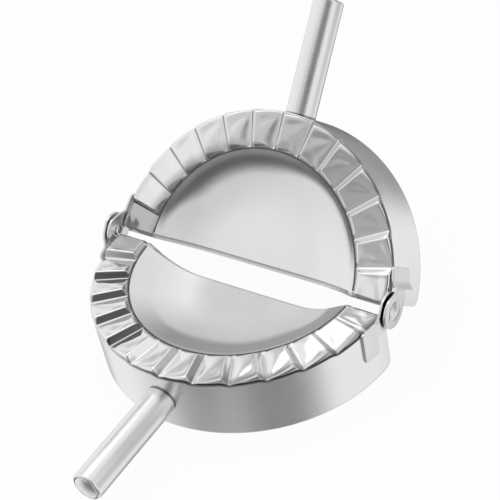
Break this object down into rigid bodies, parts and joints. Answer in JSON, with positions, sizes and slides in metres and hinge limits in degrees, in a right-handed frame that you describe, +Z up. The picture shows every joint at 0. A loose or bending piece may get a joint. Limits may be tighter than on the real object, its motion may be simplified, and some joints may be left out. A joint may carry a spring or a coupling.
{
  "type": "empanada press",
  "caption": "Hinged press for filled pastry: two half-round pleated jaws with filling pockets, each on a round cutter ring, with a straight tube handle on either side.",
  "frame": {"origin": "centre of the whole press's footprint box, on the table that the front jaw's cutter ring stands on", "axes": "+Z up; +Y from the front handle towards the raised back jaw; the hinge line runs along X, 8.265 mm towards +Y and 20.5 mm up"},
  "size_m": [0.1026, 0.1506, 0.0775],
  "materials": {
    "pressed_steel": "polished pressed stainless sheet",
    "ring_steel": "satin stainless sheet",
    "ear_steel": "satin stainless sheet",
    "handle_steel": "polished stainless tube",
    "cap_steel": "turned stainless",
    "rivet_steel": "domed steel rivet",
    "fastener_steel": "plain steel fastener"
  },
  "bodies": {
    "front_half": {"front_plate": "pressed_steel", "front_cutter": "ring_steel", "front_inner_ear": "ear_steel", "front_outer_ear": "ear_steel", "front_handle_tube": "handle_steel", "front_end_cap": "cap_steel", "front_handle_screw": "fastener_steel", "front_lock_washer": "fastener_steel", "left_rivet": "rivet_steel", "left_spacer": "fastener_steel"},
    "back_half": {"back_plate": "pressed_steel", "back_cutter": "ring_steel", "back_inner_ear": "ear_steel", "back_outer_ear": "ear_steel", "back_handle_tube": "handle_steel", "back_end_cap": "cap_steel", "back_handle_screw": "fastener_steel", "back_lock_washer": "fastener_steel", "right_rivet": "rivet_steel", "right_spacer": "fastener_steel"}
  },
  "joints": [
    {"name": "hinge", "type": "hinge", "parent": "front_half", "child": "back_half", "pos_m": [0, 0.00826, 0.0205], "axis": [1, 0, 0], "range_deg": [-47.6, 132.4]}
  ]
}
